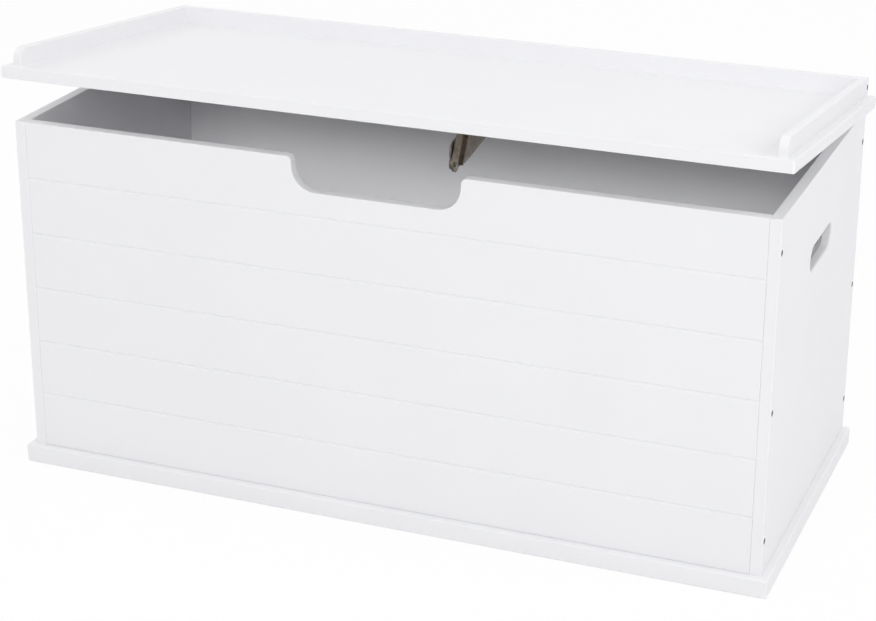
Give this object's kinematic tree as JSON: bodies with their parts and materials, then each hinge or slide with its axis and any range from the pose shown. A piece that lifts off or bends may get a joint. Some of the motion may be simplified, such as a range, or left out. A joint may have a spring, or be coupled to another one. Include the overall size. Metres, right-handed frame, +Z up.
{
  "type": "toy box",
  "caption": "Painted wooden toy box with a plank-grooved front, a finger cut-out, hand slots in the sides, a railed lid on butt hinges and a folding friction lid stay.",
  "frame": {"origin": "middle of the base board's underside, on the floor", "axes": "+Z up, the front faces -Y, +X runs along the width to the viewer's right"},
  "size_m": [0.921, 0.4293, 0.5155],
  "materials": {
    "painted_board": "smooth white satin paint on fibreboard",
    "dark_screw": "dark steel with a hexagon or cross recess",
    "zinc_steel": "bright zinc-plated steel",
    "bronze_steel": "bronze-plated pressed steel",
    "bright_rivet": "worn bronze-plated steel",
    "nylon_washer": "natural nylon",
    "beech_dowel": "bare fluted beech",
    "soft_buffer": "translucent soft bumper"
  },
  "bodies": {
    "carcass": {"base_board": "painted_board", "front_panel": "painted_board", "back_panel": "painted_board", "left_side_panel": "painted_board", "right_side_panel": "painted_board", "left_side_screws": "dark_screw", "right_side_screws": "dark_screw", "base_screws": "zinc_steel", "hinge_back_screws": "zinc_steel", "left_hinge_back_leaf": "zinc_steel", "left_hinge_pin": "zinc_steel", "right_hinge_back_leaf": "zinc_steel", "right_hinge_pin": "zinc_steel", "stay_back_bracket": "bronze_steel", "stay_back_screws": "bronze_steel", "stay_anchor_bolt": "bright_rivet", "stay_anchor_nut": "bright_rivet", "stay_anchor_washer": "nylon_washer", "base_dowels": "beech_dowel"},
    "lid": {"lid_board": "painted_board", "lid_left_rail": "painted_board", "lid_right_rail": "painted_board", "lid_back_rail": "painted_board", "rail_screws": "zinc_steel", "rail_corner_screws": "dark_screw", "lid_buffers": "soft_buffer", "left_hinge_lid_leaf": "zinc_steel", "right_hinge_lid_leaf": "zinc_steel", "hinge_lid_screws": "zinc_steel", "stay_lid_bracket": "bronze_steel", "stay_lid_screws": "bronze_steel", "stay_lid_rivet": "bright_rivet", "stay_lid_washer": "nylon_washer"},
    "lower_arm": {"stay_lower_arm": "bronze_steel", "stay_elbow_rivet": "bright_rivet", "stay_elbow_washer": "nylon_washer"},
    "upper_arm": {"stay_upper_arm": "bronze_steel"}
  },
  "joints": [
    {"name": "lid_hinge", "type": "hinge", "parent": "carcass", "child": "lid", "pos_m": [0, 0.2103, 0.4322], "axis": [-1, 0, 0], "range_deg": [-6.7, 73.3]},
    {"name": "stay_back_pivot", "type": "hinge", "parent": "carcass", "child": "lower_arm", "pos_m": [0, 0.18, 0.377], "axis": [-1, 0, 0], "range_deg": [-6.7, 73.3]},
    {"name": "stay_elbow_pivot", "type": "hinge", "parent": "lower_arm", "child": "upper_arm", "pos_m": [0, 0.03004, 0.363], "axis": [-1, 0, 0], "range_deg": [-73.3, 6.7]}
  ],
  "couplings": [
    {"joint": "stay_back_pivot", "follows": "lid_hinge", "ratio": 1},
    {"joint": "stay_elbow_pivot", "follows": "lid_hinge", "ratio": -1}
  ]
}
